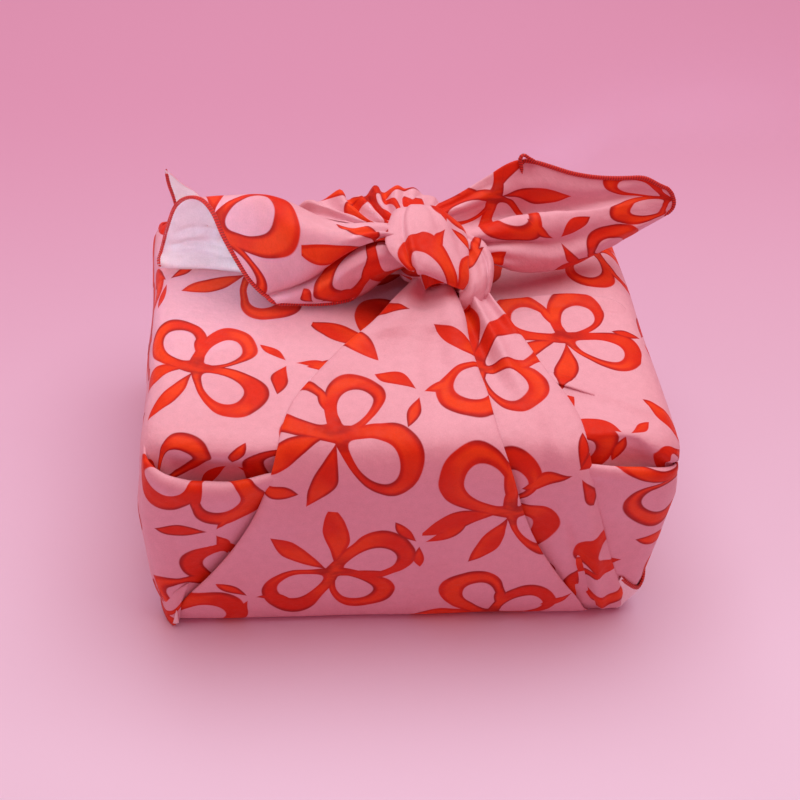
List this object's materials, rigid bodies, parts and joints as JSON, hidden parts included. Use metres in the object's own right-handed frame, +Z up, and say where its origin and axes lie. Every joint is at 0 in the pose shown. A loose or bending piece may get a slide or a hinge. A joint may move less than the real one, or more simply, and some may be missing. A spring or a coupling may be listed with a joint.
{
  "type": "furoshiki wrap",
  "caption": "Square wrapping cloth tied round a box-shaped bundle, with a square knot and its free ends fanned out on top.",
  "frame": {"origin": "centre of the flat underside of the bundle, on the surface it rests on", "axes": "+X to the bundle's right, along its longer side and the free ends; -Y its front; +Z up"},
  "size_m": [0.2639, 0.2004, 0.1786],
  "materials": {
    "printed_cotton": "plain-weave cotton, red-orange print on pink, white reverse, overlocked red hem"
  },
  "bodies": {
    "root": {"furoshiki_cloth": "printed_cotton"}
  },
  "joints": []
}
